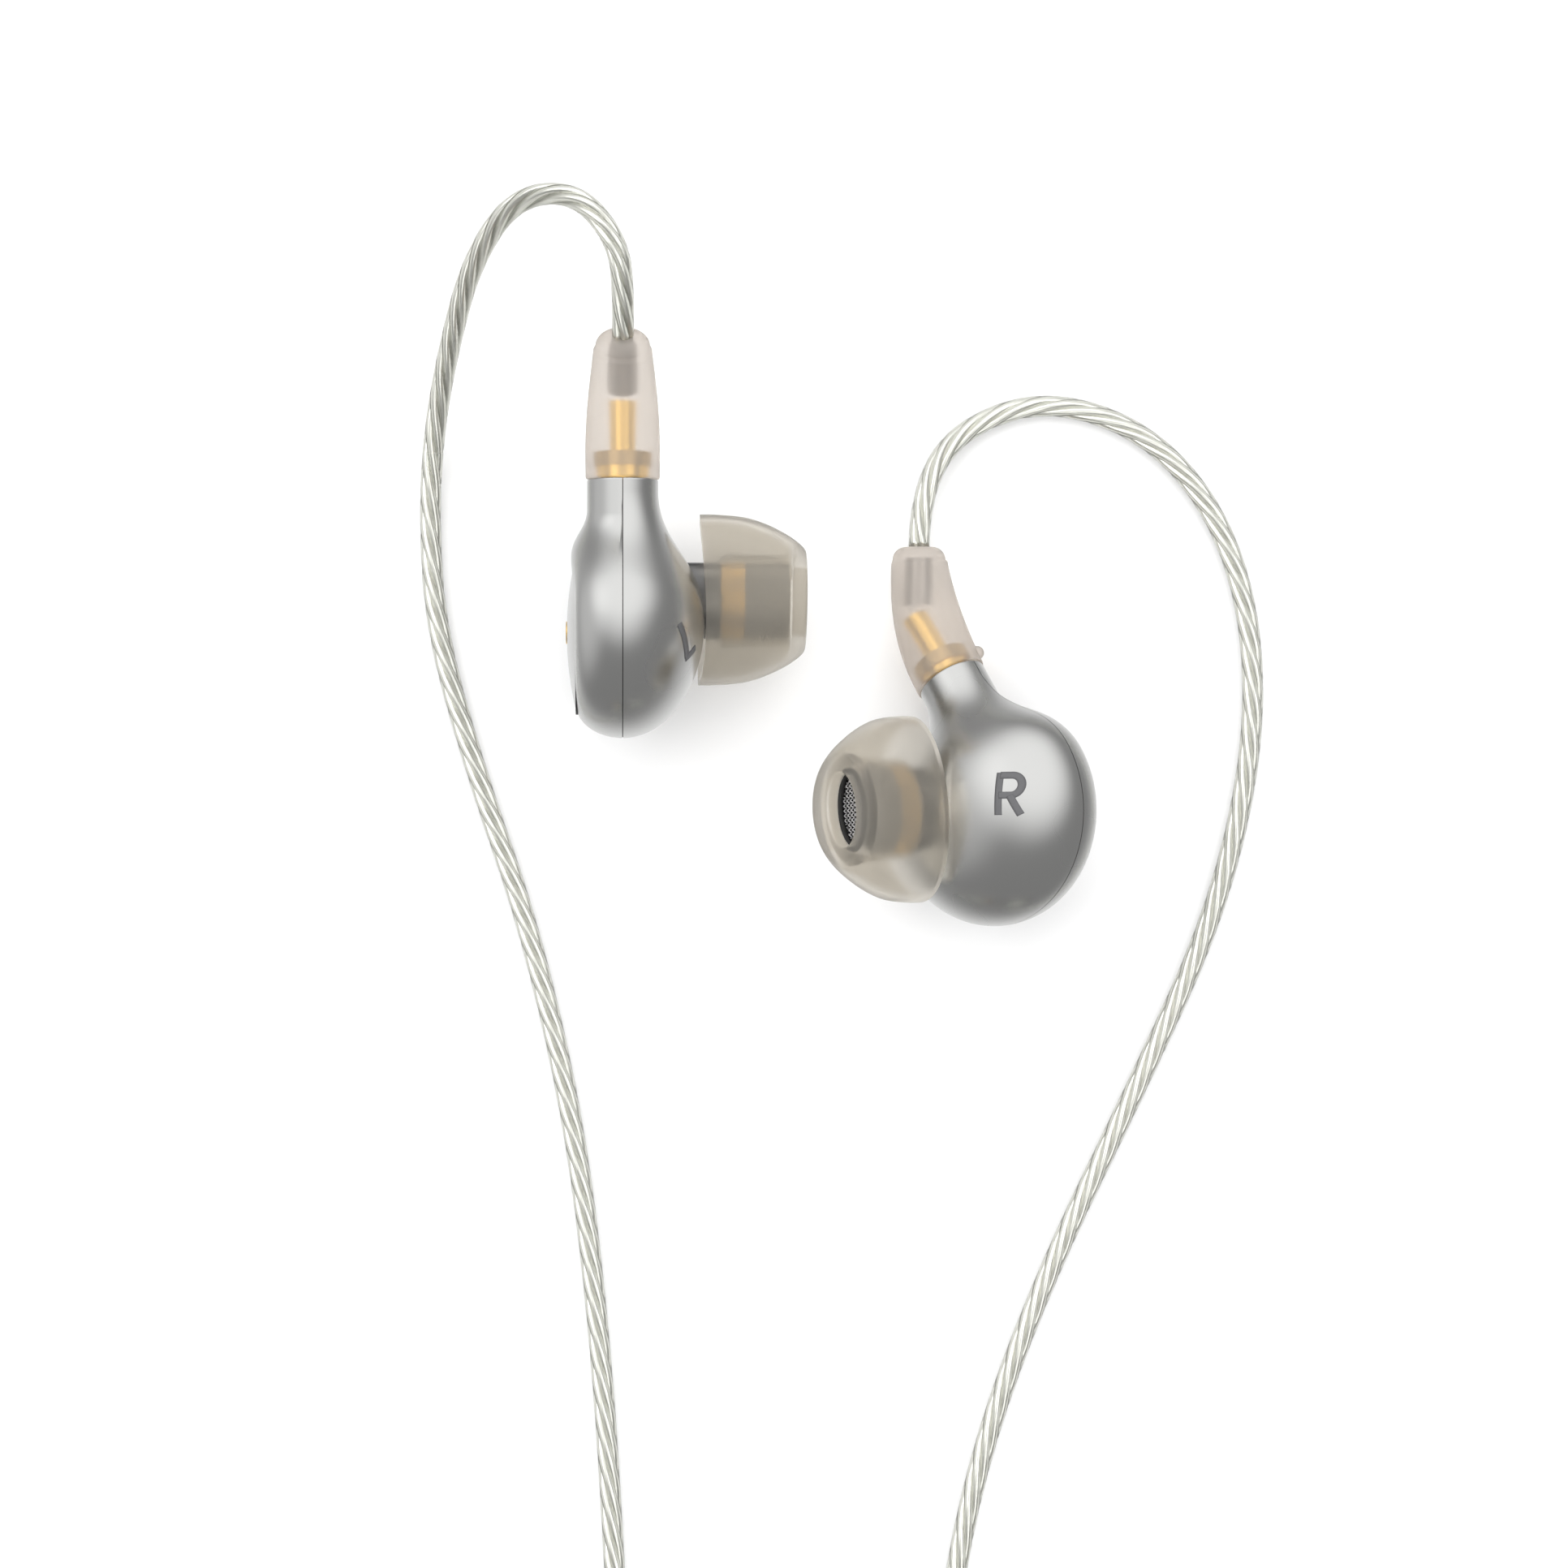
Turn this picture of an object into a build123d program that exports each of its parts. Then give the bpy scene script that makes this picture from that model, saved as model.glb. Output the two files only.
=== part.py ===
from build123d import *
import math
import os

# Pair of in ear monitors with a detachable cable, laid flat on a table. Millimetres.
# Each earpiece is drawn in its own axes: X towards the plug (along the neck), Y across, and Z from the face
# plate to the ear. The boot bends towards +Y on the left one. The right one is its mirror image, so functions
# take a hand: 1 for the left earpiece and -1 for the right one, which turns every Y round.

# Housing: an egg-shaped pebble of two shells that meet in the plane Z = 0, and a neck along X.
DISC_R = 8.3
DISC_NECK_SIDE = 6.7
DOME_HEIGHT = 5.8
BACK_DEPTH = 3.3
BACK_CORNER = 2.4
WALL = 0.6
SEAM_GAP = 0.03
NECK_R = 2.5
NECK_Y = 2.26
NECK_END = 9.8
NECK_BLEND = 3.0
NECK_EDGE = 0.15
NECK_BORE = 1.87
NECK_BORE_START = 4.0

# Face plate: an oval let into the back of the outer shell, a little off centre, with a gold dot.
PLATE_X = -0.85
PLATE_HALF = (5.8, 5.2)
PLATE_GAP = 0.1
PLATE_SEAT = 2.95
PLATE_CROWN = 3.95
PLATE_CROWN_R = 22.0
DOT_R = 0.8
DOT_DEPTH = 0.15

# Nozzle: an oval tube along Z, with a flush gold band and a mesh just inside its mouth.
NOZZLE_AT = (1.55, -2.1)
NOZZLE_TURN = 30.0
NOZZLE_HALF = (2.95, 1.6)
NOZZLE_WALL = 0.35
NOZZLE_BASE = 4.4
NOZZLE_END = 11.9
BAND = (7.0, 8.7)
BAND_DEPTH = 0.18
MESH_Z = 11.55
MESH_THICK = 0.15

# Ear tip: an oval mushroom of silicone, a thin skirt outside a core tube that grips the nozzle.
# Its sections are (height, half length, half width), from below the rim to the front.
TIP_SECTIONS = [
    (4.4, 6.6, 3.6),
    (6.8, 6.6, 3.62),
    (8.6, 6.4, 3.6),
    (10.2, 5.85, 3.52),
    (11.6, 5.1, 3.36),
    (12.5, 4.4, 3.08),
    (13.1, 3.65, 2.5),
]
TIP_SKIN = 0.45
TIP_FRONT = 13.1
TIP_RIM = 5.9
TIP_RIM_R = 48.0
TIP_CORE_WALL = 0.5
TIP_CORE_START = 7.0
TIP_MOUTH = (2.75, 1.45)
FIT = 0.05

# Driver: 7 mm dynamic, between the two shells.
DRIVER_R = 3.6
DRIVER_WALL = 0.3
DRIVER_FRONT = 1.6
DRIVER_BACK = -1.3
VENT_R = 0.35
VENT_COUNT = 6
VENT_CIRCLE_R = 2.5
MAGNET_R = 2.0
MAGNET_BACK = -2.5
FILM_THICK = 0.15
FILM_SINK = 0.1
CAP_R = 1.9
CAP_BALL_R = 2.1
CAP_RISE = 0.8
CAP_SINK = 0.9

# Coaxial snap socket in the neck, and the plug in it. Distances are along X.
JACK_R = (1.35, 1.85)
JACK_X = (5.4, 9.6)
JACK_BASE = 0.9
PLUG_R = (0.8, 1.15)
PLUG_START = 6.6
GROOVE_X = (7.2, 7.7)
GROOVE_R = 1.0
GROOVE_DEEPER = 0.2
RING_SLOT = 0.5
FLANGE_R = 1.58
FLANGE_X = (9.85, 10.75)
COLLAR_R = 1.73
COLLAR_END = 11.75
STEM_R = 0.75
STEM_END = 15.4
PIN_R = 0.25
PIN_X = (5.8, 9.2)

# Boot: a frosted strain relief moulded over the plug, bent towards +Y.
BOOT_START = 9.85
BOOT_BEND = 35.5
BOOT_BEND_R = 16.7
BOOT_RADII = (2.6, 2.62, 2.55, 2.38, 2.15, 1.92)
BOOT_CORNER = 0.5
CRIMP_R = 0.86
CRIMP_LENGTH = 3.4
CRIMP_END_GAP = 0.9
NUB_AT = (10.8, 4.3, -1.55)
NUB_R = 0.5

# How the two earpieces lie: the disc centre in the seam plane, the neck's direction and the tip's direction.
LEFT_AT = (-14.72, 0.67, 8.3)
LEFT_NECK = (0, 1, 0)
LEFT_TIP = (0.9988, 0, -0.048)
RIGHT_AT = (11.58, -12.72, 6.88)
RIGHT_NECK = (-0.4198, 0.8141, -0.4002)
RIGHT_TIP = (-0.69, 0, 0.7238)


# Cable: two branches, each laid on the table and wound into a coil, then the splitter and the main cord.
CORD_D = 1.55
MAIN_D = 2.0
COIL_LIFT = 0.5
COIL_PITCH = 1.03
TIE_THICK = 0.4
TIE_WIDTH = 3.0

# Each branch's route over the table, from the boot to the side of its coil. The first point is the boot's end.
LEFT_LEAD = [
    (-14.47, 19.93, 13.57),
    (-14.3, 22.6, 15.5),
    (-14.6, 26.2, 17.3),
    (-17.5, 29.7, 16.9),
    (-22.0, 29.8, 13.7),
    (-25.3, 25.9, 9.8),
    (-27.3, 20.4, 5.6),
    (-28.7, 14.9, 2.1),
    (-29.2, 8.6, 0.8),
    (-28.7, 0.3, 0.8),
    (-25.7, -10.3, 0.8),
    (-21.8, -21.5, 0.8),
    (-18.5, -36.0, 0.8),
    (-16.7, -51.4, 0.8),
    (-15.7, -66.5, 0.8),
    (-15.3, -81.0, 1.3),
]
RIGHT_LEAD = [
    (6.53, 6.2, 2.07),
    (6.6, 10.2, 1.9),
    (9.3, 14.9, 1.0),
    (15.7, 17.3, 0.8),
    (23.0, 15.0, 0.8),
    (28.2, 9.3, 0.8),
    (30.9, 1.2, 0.8),
    (31.0, -8.8, 0.8),
    (28.2, -20.6, 0.8),
    (22.3, -33.4, 0.8),
    (16.3, -45.7, 0.8),
    (11.6, -57.8, 0.8),
    (8.9, -69.5, 0.8),
    (8.2, -81.0, 1.3),
]
# Each branch's route from its coil to the splitter, side by side over the last stretch.
LEFT_TAIL = [
    (-15.3, -81.0, 2.9),
    (-15.3, -85.6, 2.6),
    (-12.9, -90.6, 1.6),
    (-7.6, -93.6, 1.3),
    (-4.9, -98.6, 1.6),
    (-4.9, -118.0, 1.6),
]
RIGHT_TAIL = [
    (8.2, -81.0, 2.9),
    (8.2, -85.6, 2.6),
    (5.8, -90.6, 1.6),
    (0.5, -93.6, 1.3),
    (-2.3, -98.6, 1.6),
    (-2.3, -118.0, 1.6),
]
MAIN_LEAD = [
    (-3.6, -126.0, 1.7),
    (-3.6, -129.8, 1.6),
    (-1.6, -134.0, 1.4),
    (3.0, -136.2, 1.2),
    (9.5, -136.0, 1.2),
    (17.0, -136.0, 1.5),
]
MAIN_TAIL = [
    (3.0, -122.0, 7.6),
    (3.0, -126.8, 7.5),
    (2.6, -132.0, 6.9),
    (0.2, -137.0, 5.8),
    (-3.6, -140.2, 4.3),
    (-8.4, -140.6, 3.5),
]
# Coils: centre, radius of the outermost turn, turns in all, layers.
LEFT_COIL = ((-25.5, -81.0), 10.2, 5, 2)
RIGHT_COIL = ((18.4, -81.0), 10.2, 5, 2)
MAIN_COIL = ((17.0, -122.0), 14.0, 11.75, 4)

# Splitter and chin slider: rounded blocks round the two branches.
BLOCK_X = -3.6
BLOCK_Z = 1.6
BLOCK_HALF_WIDTH = 3.1
BLOCK_HEIGHT = 3.2
BLOCK_EDGE = 0.9
SPLITTER_Y = (-126.0, -118.0)
SLIDER_Y = (-117.4, -112.4)
SLIDER_FIT = 0.06
BRANCH_X = (-4.9, -2.3)

# 3.5 mm plug along -X: where each piece starts, and its radius.
JACK_Y = -140.6
JACK_Z = 3.5
RELIEF_X = -8.4
RELIEF_LENGTH = 6.6
RELIEF_R = (1.45, 2.3)
BARREL_R = 3.4
BARREL_LENGTH = 13.5
BARREL_ENDS = ((0.7, 2.7), (0.4, 3.0))
CONTACT_R = 1.75
CONTACT_CORE = 0.5
SLEEVE_LENGTH = 6.4
SPACER = 0.6
SPACER_LESS = 0.02
RING_LENGTH = 2.5
# The contact tip: (distance from its start, radius).
CONTACT_TIP = [(0, 1.25), (0.8, CONTACT_R), (1.9, 1.25), (2.6, CONTACT_R), (4.0, 0.5)]


def along_x(radius, start, end, hand):
    """A round bar on the neck's axis, from start to end."""
    bar = Cylinder(radius, end - start, align=(Align.CENTER, Align.CENTER, Align.MIN))
    return Pos(start, hand * NECK_Y, 0) * Rot(0, 90, 0) * bar


def ring_x(inner, outer, start, end, hand):
    return along_x(outer, start, end, hand) - along_x(inner, start - 1, end + 1, hand)


def upright(radius, start, end):
    """A round bar on the disc's own axis."""
    return Pos(0, 0, start) * Cylinder(radius, end - start, align=(Align.CENTER, Align.CENTER, Align.MIN))


def nozzle_place(height, hand):
    """The nozzle's own axes at a height: X along its section's length."""
    return Pos(NOZZLE_AT[0], hand * NOZZLE_AT[1], height) * Rot(0, 0, hand * NOZZLE_TURN)


def oval_bar(half_sizes, start, end, hand):
    """An oval bar on the nozzle's axis, from start to end."""
    return nozzle_place(start, hand) * extrude(Ellipse(*half_sizes), amount=end - start)


def grown(half_sizes, by):
    return (half_sizes[0] + by, half_sizes[1] + by)


def half_space(sign):
    """A block that fills one side of the seam plane, a hair short of it."""
    size = 6 * DISC_R
    side = Align.MIN if sign > 0 else Align.MAX
    return Pos(0, 0, sign * SEAM_GAP) * Box(size, size, size, align=(Align.CENTER, Align.CENTER, side))


def pebble(shrink):
    """The housing's body without its neck, smaller all round by shrink. Its half on the neck's side is shorter."""
    radius = DISC_R - shrink
    dome = DOME_HEIGHT - shrink
    back = BACK_DEPTH - shrink
    flat = DISC_R - BACK_CORNER
    front = EllipticalCenterArc((0, 0), radius, dome, start_angle=0, arc_size=90)
    corner = EllipticalCenterArc((flat, 0), radius - flat, back, start_angle=270, arc_size=90)
    floor = Line((0, -back), (flat, -back))
    spindle = Line((0, dome), (0, -back))
    profile = make_face(Curve() + [front, corner, floor, spindle])
    whole = revolve(Plane.XZ * profile, Axis.Z)
    size = 6 * DISC_R
    far_side = whole & Box(size, size, size, align=(Align.MAX, Align.CENTER, Align.CENTER))
    neck_side = whole & Box(size, size, size, align=(Align.MIN, Align.CENTER, Align.CENTER))
    return far_side + scale(neck_side, by=((DISC_NECK_SIDE - shrink) / radius, 1, 1))


def housing(hand):
    """The whole housing as one hollow body, before it is parted along the seam."""
    neck = along_x(NECK_R, 0, NECK_END, hand)
    neck = fillet([neck.edges().sort_by(Axis.X)[-1]], NECK_EDGE)
    body = pebble(0) + neck
    creases = [edge for edge in body.edges() if 4.0 < edge.center().X < NECK_END - 0.5]
    body = fillet(creases, NECK_BLEND)
    return body - pebble(WALL) - along_x(NECK_BORE, NECK_BORE_START, NECK_END + 1, hand)


def plate_bar(half_sizes, start, end):
    return Pos(PLATE_X, 0, start) * extrude(Ellipse(*half_sizes), amount=end - start)


def face_pieces():
    """The crowned face plate and the gold dot in it."""
    ball = Pos(0, 0, PLATE_CROWN_R - PLATE_CROWN) * Sphere(PLATE_CROWN_R)
    plate = plate_bar(grown(PLATE_HALF, -PLATE_GAP), -PLATE_CROWN - 1, -PLATE_SEAT - 0.01) & ball
    pocket = Pos(PLATE_X, 0, 0) * upright(DOT_R, -PLATE_CROWN - 1, -PLATE_CROWN + DOT_DEPTH)
    return {"face_plate": plate - pocket, "face_inlay": pocket & ball}


def shells(hand):
    body = housing(hand)
    seat = plate_bar(PLATE_HALF, -BACK_DEPTH - 2, -PLATE_SEAT)
    mouth = oval_bar(NOZZLE_HALF, NOZZLE_BASE, NOZZLE_END, hand)
    return {"inner_shell": (body & half_space(1)) - mouth, "outer_shell": (body & half_space(-1)) - seat}


def nozzle_pieces(hand):
    bore_half = grown(NOZZLE_HALF, -NOZZLE_WALL)
    tube = oval_bar(NOZZLE_HALF, NOZZLE_BASE, NOZZLE_END, hand)
    bore = oval_bar(bore_half, NOZZLE_BASE - 1, NOZZLE_END + 1, hand)
    inside_band = oval_bar(grown(NOZZLE_HALF, -BAND_DEPTH), BAND[0] - 1, BAND[1] + 1, hand)
    band = oval_bar(NOZZLE_HALF, *BAND, hand) - inside_band
    mesh = oval_bar(bore_half, MESH_Z - MESH_THICK, MESH_Z, hand)
    return {"nozzle": tube - bore - band, "nozzle_ring": band, "nozzle_mesh": mesh}


def tip_skin(shrink, hand):
    """The outside of the tip, smaller all round by shrink."""
    ovals = []
    for height, half_length, half_width in TIP_SECTIONS:
        top = min(height, TIP_FRONT - shrink)
        ovals.append(nozzle_place(top, hand) * Ellipse(half_length - shrink, half_width - shrink))
    return loft(ovals)


def ear_tip(hand):
    skirt = tip_skin(0, hand) - tip_skin(TIP_SKIN, hand)
    saddle = nozzle_place(TIP_RIM - TIP_RIM_R, hand) * Rot(90, 0, 0)
    skirt -= saddle * Cylinder(TIP_RIM_R, 6 * DISC_R)
    core = oval_bar(grown(NOZZLE_HALF, FIT + TIP_CORE_WALL), TIP_CORE_START, TIP_FRONT - TIP_SKIN / 2, hand)
    grip = oval_bar(grown(NOZZLE_HALF, FIT), TIP_CORE_START - 1, NOZZLE_END + 2 * FIT, hand)
    return {"ear_tip": skirt + core - grip - oval_bar(TIP_MOUTH, NOZZLE_END, TIP_FRONT + 1, hand)}


def driver_cap(sink):
    """The raised middle of the diaphragm, as a piece of a ball."""
    ball = Sphere(CAP_BALL_R) & upright(CAP_R, CAP_RISE, CAP_BALL_R)
    return Pos(0, 0, DRIVER_FRONT - sink) * ball


def driver_pieces():
    """A basket with a rim, the magnet on its back and the diaphragm in its front."""
    inside_r = DRIVER_R - DRIVER_WALL
    cup = upright(DRIVER_R, DRIVER_BACK, DRIVER_FRONT)
    cup -= upright(inside_r, DRIVER_BACK + DRIVER_WALL, DRIVER_FRONT + 1)
    vents = PolarLocations(VENT_CIRCLE_R, VENT_COUNT) * Cylinder(VENT_R, 3 * DRIVER_FRONT)
    magnet = upright(MAGNET_R, MAGNET_BACK, DRIVER_BACK)
    film = upright(inside_r, DRIVER_FRONT - FILM_SINK - FILM_THICK, DRIVER_FRONT - FILM_SINK)
    film += driver_cap(CAP_SINK)
    film -= driver_cap(CAP_SINK + FILM_THICK)
    return {"driver_basket": cup - vents, "driver_magnet": magnet, "driver_diaphragm": film}


def jack_pieces(hand):
    inner, outer = JACK_R
    start, end = JACK_X
    groove_start, groove_end = GROOVE_X
    shell = ring_x(inner, outer, start, end, hand)
    shell -= ring_x(inner - 2 * FIT, inner + GROOVE_DEEPER, groove_start - 2 * FIT, groove_end + 2 * FIT, hand)
    base = along_x(inner, start, start + JACK_BASE, hand) - along_x(PIN_R + FIT, 0, NECK_END, hand)
    return {"jack_shell": shell, "jack_insulator": base}


def snap_ring(hand):
    """The split spring ring that lies in both grooves."""
    ring = ring_x(GROOVE_R + FIT, JACK_R[0] - FIT, GROOVE_X[0] + FIT, GROOVE_X[1] - FIT, hand)
    slot = Pos(GROOVE_X[0], hand * NECK_Y, JACK_R[0]) * Box(3, RING_SLOT, 2)
    return {"snap_ring": ring - slot}


def plug_pieces(hand):
    shell = along_x(PLUG_R[1], PLUG_START, FLANGE_X[0], hand)
    shell += along_x(FLANGE_R, *FLANGE_X, hand)
    shell += along_x(STEM_R, FLANGE_X[1], STEM_END, hand)
    shell -= ring_x(GROOVE_R, 3, *GROOVE_X, hand)
    shell -= along_x(PLUG_R[0], PLUG_START - 1, PIN_X[1], hand)
    collar = ring_x(STEM_R, COLLAR_R, FLANGE_X[1], COLLAR_END, hand)
    insulator = ring_x(PIN_R, PLUG_R[0], PLUG_START + 4 * FIT, PIN_X[1], hand)
    pin = along_x(PIN_R, *PIN_X, hand)
    return {"plug_shell": shell, "plug_collar": collar, "plug_insulator": insulator, "plug_pin": pin}


def boot_plane(turn, hand):
    """The plane across the boot after its centre line has turned by so many degrees."""
    angle = math.radians(turn)
    x = BOOT_START + BOOT_BEND_R * math.sin(angle)
    y = hand * (NECK_Y + BOOT_BEND_R * (1 - math.cos(angle)))
    return Plane(origin=(x, y, 0), x_dir=(0, 0, 1), z_dir=(math.cos(angle), hand * math.sin(angle), 0))


def boot_pieces(hand):
    """The boot and the crimp in it. The right boot has a small raised dot."""
    steps = len(BOOT_RADII) - 1
    sections = [boot_plane(BOOT_BEND * i / steps, hand) * Circle(r) for i, r in enumerate(BOOT_RADII)]
    boot = loft(sections)
    end = boot_plane(BOOT_BEND, hand)
    boot = fillet(boot.faces().sort_by_distance(end.origin)[0].edges(), BOOT_CORNER)
    if hand < 0:
        boot += Pos(NUB_AT[0], hand * NUB_AT[1], NUB_AT[2]) * Sphere(NUB_R)
    crimp = end * Pos(0, 0, -CRIMP_END_GAP - CRIMP_LENGTH) * Cylinder(
        CRIMP_R, CRIMP_LENGTH, align=(Align.CENTER, Align.CENTER, Align.MIN))
    plug = plug_pieces(hand)
    crimp -= plug["plug_shell"]
    boot = boot - crimp - plug["plug_shell"] - plug["plug_collar"]
    return {"boot": boot, "crimp_sleeve": crimp}


def earpiece(hand, centre, neck, tip):
    """All pieces of one earpiece, in place."""
    pieces = {}
    for group in (shells(hand), face_pieces(), nozzle_pieces(hand), ear_tip(hand), driver_pieces(),
                  jack_pieces(hand), snap_ring(hand), plug_pieces(hand), boot_pieces(hand)):
        pieces.update(group)
    place = Plane(origin=centre, x_dir=neck, z_dir=tip).location
    return {name: place * piece for name, piece in pieces.items()}


def cord_path(points):
    """Straight runs joined by arcs, each as large as its two runs allow. Prints the arcs' radii."""
    spots = [Vector(*point) for point in points]
    radii = []
    for before, here, after in zip(spots, spots[1:], spots[2:]):
        turn = math.radians((here - before).get_angle(after - here))
        shorter = min((here - before).length, (after - here).length)
        radii.append(0.45 * shorter / math.tan(turn / 2))
    return FilletPolyline(*spots, radius=radii), radii


def cord_tube(name, points, diameter):
    path, radii = cord_path(points)
    section = Plane(origin=path @ 0, z_dir=path % 0) * Circle(diameter / 2)
    tube = sweep(section, path=path)
    ideal = math.pi * diameter ** 2 / 4 * path.length
    print(name, "length", round(path.length, 1), "volume over ideal", round(tube.volume / ideal, 4))
    print("   radii", [round(radius, 1) for radius in radii])
    return tube


def coil_band(diameter, outermost, turns, layers):
    """Inner and outer radius and height of the ring that a coil fills."""
    depth = turns / layers * diameter * COIL_PITCH
    inner = outermost - depth - diameter / 2
    return inner, outermost + diameter / 2, layers * diameter


def coil_ring(diameter, centre, outermost, turns, layers):
    inner, outer, height = coil_band(diameter, outermost, turns, layers)
    ring = Cylinder(outer, height) - Cylinder(inner, 2 * height)
    rims = ring.edges().filter_by(GeomType.CIRCLE)
    return Pos(*centre, COIL_LIFT + height / 2) * fillet(rims, diameter * 0.45)


def coil_tie(diameter, centre, outermost, turns, layers, angle):
    """A flat band wrapped once round the section of a coil."""
    inner, outer, height = coil_band(diameter, outermost, turns, layers)
    inner -= TIE_WIDTH ** 2 / (8 * inner)
    gap = 0.04
    wide = outer - inner + 2 * gap
    hole = RectangleRounded(wide, height + 2 * gap, diameter * 0.3)
    band = RectangleRounded(wide + 2 * TIE_THICK, height + 2 * gap + 2 * TIE_THICK, diameter * 0.3 + TIE_THICK)
    loop = extrude(Plane.XZ * (band - hole), amount=TIE_WIDTH / 2, both=True)
    place = Pos(*centre, COIL_LIFT + height / 2) * Rot(0, 0, angle)
    return place * Pos((inner + outer) / 2, 0, 0) * loop


def block(start, end):
    """A rounded block on the table, round both branches."""
    section = RectangleRounded(2 * BLOCK_HALF_WIDTH, BLOCK_HEIGHT, BLOCK_HEIGHT / 2 - 0.05)
    solid = Pos(BLOCK_X, end, BLOCK_Z) * extrude(Plane.XZ * section, amount=end - start)
    faces = solid.faces().filter_by(Axis.Y)
    return fillet(faces.edges(), BLOCK_EDGE)


def chin_slider():
    slider = block(*SLIDER_Y)
    for x in BRANCH_X:
        bore = Cylinder(CORD_D / 2 + SLIDER_FIT, 40)
        slider -= Pos(x, SLIDER_Y[0], BLOCK_Z) * Rot(90, 0, 0) * bore
    return slider


def turned(profile):
    """A round piece of the plug: profile holds (distance from the relief's start, radius) points."""
    start = profile[0][0]
    end = profile[-1][0]
    outline = Polyline(*profile, (end, 0), (start, 0), close=True)
    solid = revolve(make_face(outline), Axis.X)
    return Pos(RELIEF_X, JACK_Y, JACK_Z) * Rot(0, 0, 180) * solid


def jack_plug():
    """The 3.5 mm plug: relief, barrel, and the contacts, held together by a rod that belongs to the tip."""
    barrel = RELIEF_LENGTH
    sleeve = barrel + BARREL_LENGTH
    first = sleeve + SLEEVE_LENGTH
    ring = first + SPACER
    second = ring + RING_LENGTH
    tip = second + SPACER
    start_slope, end_slope = BARREL_ENDS
    barrel_profile = [
        (barrel, start_slope[1]),
        (barrel + start_slope[0], BARREL_R),
        (sleeve - end_slope[0], BARREL_R),
        (sleeve, end_slope[1]),
    ]
    spacer_r = CONTACT_R - SPACER_LESS
    rod = turned([(sleeve, CONTACT_CORE), (tip, CONTACT_CORE)])
    spacers = turned([(first, spacer_r), (ring, spacer_r)]) + turned([(second, spacer_r), (tip, spacer_r)])
    return {
        "plug_relief": turned([(0, RELIEF_R[0]), (barrel, RELIEF_R[1])]),
        "plug_barrel": turned(barrel_profile),
        "plug_sleeve": turned([(sleeve, CONTACT_R), (first, CONTACT_R)]) - rod,
        "plug_spacers": spacers - rod,
        "plug_ring": turned([(ring, CONTACT_R), (second, CONTACT_R)]) - rod,
        "plug_tip": turned([(tip + along, radius) for along, radius in CONTACT_TIP]) + rod,
    }


def cable_pieces():
    pieces = {
        "left_branch_lead": cord_tube("left lead", LEFT_LEAD, CORD_D),
        "right_branch_lead": cord_tube("right lead", RIGHT_LEAD, CORD_D),
        "left_branch_tail": cord_tube("left tail", LEFT_TAIL, CORD_D),
        "right_branch_tail": cord_tube("right tail", RIGHT_TAIL, CORD_D),
        "main_cord_lead": cord_tube("main lead", MAIN_LEAD, MAIN_D),
        "main_cord_tail": cord_tube("main tail", MAIN_TAIL, MAIN_D),
        "left_branch_coil": coil_ring(CORD_D, *LEFT_COIL),
        "right_branch_coil": coil_ring(CORD_D, *RIGHT_COIL),
        "main_cord_coil": coil_ring(MAIN_D, *MAIN_COIL),
        "splitter": block(*SPLITTER_Y),
        "chin_slider": chin_slider(),
    }
    ties = [coil_tie(CORD_D, *LEFT_COIL, 180), coil_tie(CORD_D, *RIGHT_COIL, 0), coil_tie(MAIN_D, *MAIN_COIL, 45)]
    pieces["coil_ties"] = Compound(children=ties)
    pieces.update(jack_plug())
    return pieces


def write(name, piece):
    piece.label = name
    export_step(piece, f"parts/{name}.step")


def main():
    os.makedirs("parts", exist_ok=True)
    for name, piece in earpiece(1, LEFT_AT, LEFT_NECK, LEFT_TIP).items():
        write(f"left_{name}", piece)
    for name, piece in earpiece(-1, RIGHT_AT, RIGHT_NECK, RIGHT_TIP).items():
        write(f"right_{name}", piece)
    for name, piece in cable_pieces().items():
        write(name, piece)


main()
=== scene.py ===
import bpy
import bmesh
import math

from mathutils import Matrix, Vector


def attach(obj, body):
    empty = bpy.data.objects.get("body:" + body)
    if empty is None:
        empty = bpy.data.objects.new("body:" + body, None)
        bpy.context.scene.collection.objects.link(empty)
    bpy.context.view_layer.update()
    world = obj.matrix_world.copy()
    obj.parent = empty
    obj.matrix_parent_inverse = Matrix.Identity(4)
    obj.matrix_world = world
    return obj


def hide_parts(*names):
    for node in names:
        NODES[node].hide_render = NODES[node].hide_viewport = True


# In ear monitors on a pale table, seen from straight above. Metres throughout.
# Each earpiece is drawn in its own axes, in millimetres: x along the neck to the plug, y to the side that the
# boot bends to, z from the face plate to the ear. The right one is the mirror image of the left one.

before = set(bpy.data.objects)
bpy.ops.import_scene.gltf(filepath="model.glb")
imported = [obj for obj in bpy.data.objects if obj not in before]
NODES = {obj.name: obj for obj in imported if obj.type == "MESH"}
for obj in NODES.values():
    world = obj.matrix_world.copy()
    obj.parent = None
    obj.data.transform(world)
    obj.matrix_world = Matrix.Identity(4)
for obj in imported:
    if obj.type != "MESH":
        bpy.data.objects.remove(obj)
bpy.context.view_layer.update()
MM = 0.001

# Housing, as in the CAD.
DISC_R = 8.3
DISC_NECK_SIDE = 6.7
DOME = 5.8
BACK = 3.3
BACK_FLAT = 5.9
BACK_CROWN = 0.12
NECK_R = 2.5
NECK_Y = 2.26
NECK_END = 9.8
NECK_LIP = 0.12
# The neck fades out below this place along it, by this much for each millimetre.
NECK_FADE_FROM = 2
NECK_FADE = 0.8
BLEND = 2.6
WALL = 0.5
# Half of the gap between the two shells, and where the strip of painted shade in it lies below the surface.
SEAM = 0.03
SEAM_FILL = (0.06, 0.4)
SEAM_FILL_SHARE = 0.9
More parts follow.
